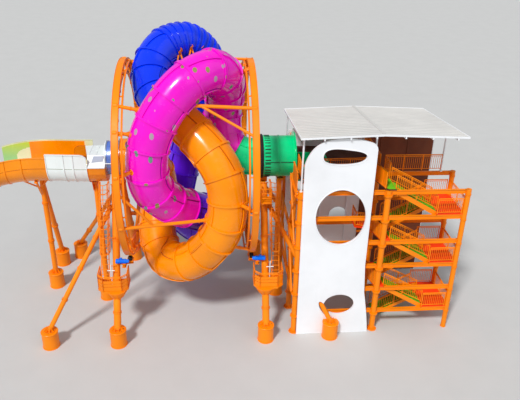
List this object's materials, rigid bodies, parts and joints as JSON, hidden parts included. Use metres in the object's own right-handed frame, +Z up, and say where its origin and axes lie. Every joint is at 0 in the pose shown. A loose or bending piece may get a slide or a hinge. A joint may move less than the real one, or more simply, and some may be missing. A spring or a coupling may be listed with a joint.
{
  "type": "water slide tower",
  "caption": "Turning slide wheel with looping coloured tubes, carried on rollers between orange supports, with an outlet trough and a stair tower behind a sculpted white front.",
  "frame": {"origin": "middle of the footprint at ground level", "axes": "+Z up, +X along the wheel's axis towards the stair tower, +Y to the back"},
  "size_m": [31.937, 13.42, 20.0693],
  "materials": {
    "steel_orange": "satin paint",
    "tube_magenta": "gloss",
    "tube_purple": "gloss",
    "tube_blue": "gloss",
    "tube_orange": "gloss",
    "drum_green": "gloss",
    "shell_white": "gloss",
    "bearing_black": "satin paint",
    "hub_chrome": "brushed",
    "motor_blue": "satin paint",
    "panel_white": "satin paint",
    "roof_pale": "matt paint",
    "floor_red": "anti-slip paint",
    "tread_green": "anti-slip paint"
  },
  "bodies": {
    "structure": {"back_flight_lower": "tread_green", "back_flight_middle": "tread_green", "back_flight_upper": "tread_green", "back_panel": "panel_white", "drive_motor_left": "motor_blue", "drive_motor_right": "motor_blue", "drum_column": "steel_orange", "frame_back": "steel_orange", "frame_front": "steel_orange", "frame_left": "steel_orange", "frame_middle": "steel_orange", "front_flight_lower": "tread_green", "front_flight_middle": "tread_green", "front_flight_upper": "tread_green", "front_panel": "panel_white", "guard_rail_deck": "steel_orange", "guard_rail_front": "steel_orange", "guard_rail_stair": "steel_orange", "hub_beam_left": "steel_orange", "hub_beam_right": "steel_orange", "inlet_drum": "drum_green", "ladder_left": "steel_orange", "ladder_right": "steel_orange", "lower_deck": "floor_red", "outlet_box_base": "tube_orange", "outlet_box_cover": "shell_white", "outlet_column": "steel_orange", "raker_back_left": "steel_orange", "raker_back_right": "steel_orange", "raker_front_left": "steel_orange", "raker_front_right": "steel_orange", "roller_column_back_left": "steel_orange", "roller_column_back_right": "steel_orange", "roller_column_front_left": "steel_orange", "roller_column_front_right": "steel_orange", "roof": "roof_pale", "service_platform_left": "steel_orange", "service_platform_right": "steel_orange", "slewing_ring_left": "hub_chrome", "slewing_ring_right": "bearing_black", "start_tub": "drum_green", "top_deck": "floor_red", "trough_frame": "steel_orange", "trough_lower": "tube_orange", "trough_upper": "shell_white", "upper_deck": "floor_red"},
    "wheel": {"blue_tube": "tube_blue", "inlet_tube": "tube_magenta", "lower_back_tube": "tube_purple", "magenta_tube": "tube_magenta", "orange_tube": "tube_orange", "outlet_tube": "tube_orange", "purple_tube": "tube_purple", "ribbed_blue_tube": "tube_blue", "rim_left": "steel_orange", "rim_right": "steel_orange", "tie_tube_lower": "steel_orange", "tie_tube_upper": "steel_orange"}
  },
  "joints": [
    {"name": "wheel_turn", "type": "hinge", "parent": "structure", "child": "wheel", "pos_m": [-2.3685, 0, 11.55], "axis": [1, 0, 0], "continuous": true}
  ]
}
